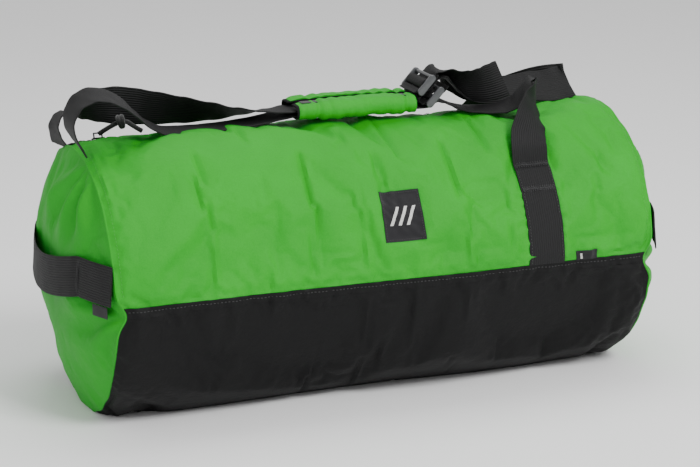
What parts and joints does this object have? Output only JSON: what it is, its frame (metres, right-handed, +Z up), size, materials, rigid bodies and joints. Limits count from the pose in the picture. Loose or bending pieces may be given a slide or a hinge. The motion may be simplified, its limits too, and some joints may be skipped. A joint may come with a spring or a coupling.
{
  "type": "duffel bag",
  "caption": "Green nylon barrel duffel with a black base panel, zipped top, black webbing carry straps, padded wrap grip and webbing end handles.",
  "frame": {"origin": "middle of the flat rest face under the base panel", "axes": "+X along the barrel towards the end away from the zip pull, +Z up"},
  "size_m": [0.851, 0.3543, 0.4164],
  "materials": {
    "nylon_green": "coated nylon, soft sheen",
    "base_black": "heavy coated black cloth",
    "webbing": "ribbed nylon webbing",
    "binding_tape": "folded binding tape",
    "zip_tape": "woven zip tape",
    "zip_coil": "nylon coil",
    "slider_metal": "black painted zinc",
    "lock_plastic": "moulded acetal",
    "label_cloth": "tight woven label",
    "foam": "closed cell foam",
    "hook_tape": "hook and loop tape",
    "cord_black": "braided cord"
  },
  "bodies": {
    "root": {"front_panel": "nylon_green", "back_panel": "nylon_green", "base_panel": "base_black", "left_end_panel": "nylon_green", "right_end_panel": "nylon_green", "left_seam_binding": "binding_tape", "right_seam_binding": "binding_tape", "zip_tape_front": "zip_tape", "zip_tape_back": "zip_tape", "zip_end_tab_left": "base_black", "zip_end_tab_right": "base_black", "zip_teeth_front": "zip_coil", "zip_teeth_back": "zip_coil", "zip_stop_left": "slider_metal", "zip_stop_right": "slider_metal", "front_strap_right": "webbing", "rear_strap_right": "webbing", "front_strap_left": "webbing", "rear_strap_left": "webbing", "left_end_handle": "webbing", "right_end_handle": "webbing", "end_label": "label_cloth", "front_label": "label_cloth", "side_label": "label_cloth", "grip_cover": "nylon_green", "grip_foam": "foam", "hook_strip": "hook_tape"},
    "zip_pull": {"zip_slider": "slider_metal", "pull_cord": "cord_black", "pull_knot": "cord_black"},
    "front_lock": {"front_ladder_lock": "lock_plastic"},
    "rear_lock": {"rear_ladder_lock": "lock_plastic"},
    "flap": {"grip_flap": "nylon_green", "flap_foam": "foam", "loop_strip": "hook_tape"}
  },
  "joints": [
    {"name": "zip_slide", "type": "slide", "parent": "root", "child": "zip_pull", "axis": [1, 0, 0], "range_m": [0, 0.54], "deforming": ["pull_cord", "pull_knot"]},
    {"name": "front_lock_tilt", "type": "hinge", "parent": "root", "child": "front_lock", "pos_m": [0.1083, 0.008, 0.361], "axis": [0, 1, 0], "range_deg": [-6, 6]},
    {"name": "rear_lock_tilt", "type": "hinge", "parent": "root", "child": "rear_lock", "pos_m": [0.0983, 0.014, 0.3767], "axis": [0, 1, 0], "range_deg": [-6, 6]},
    {"name": "flap_hinge", "type": "hinge", "parent": "root", "child": "flap", "pos_m": [0.005, 0.022, 0.351], "axis": [-1, 0, 0], "range_deg": [0, 40]}
  ]
}
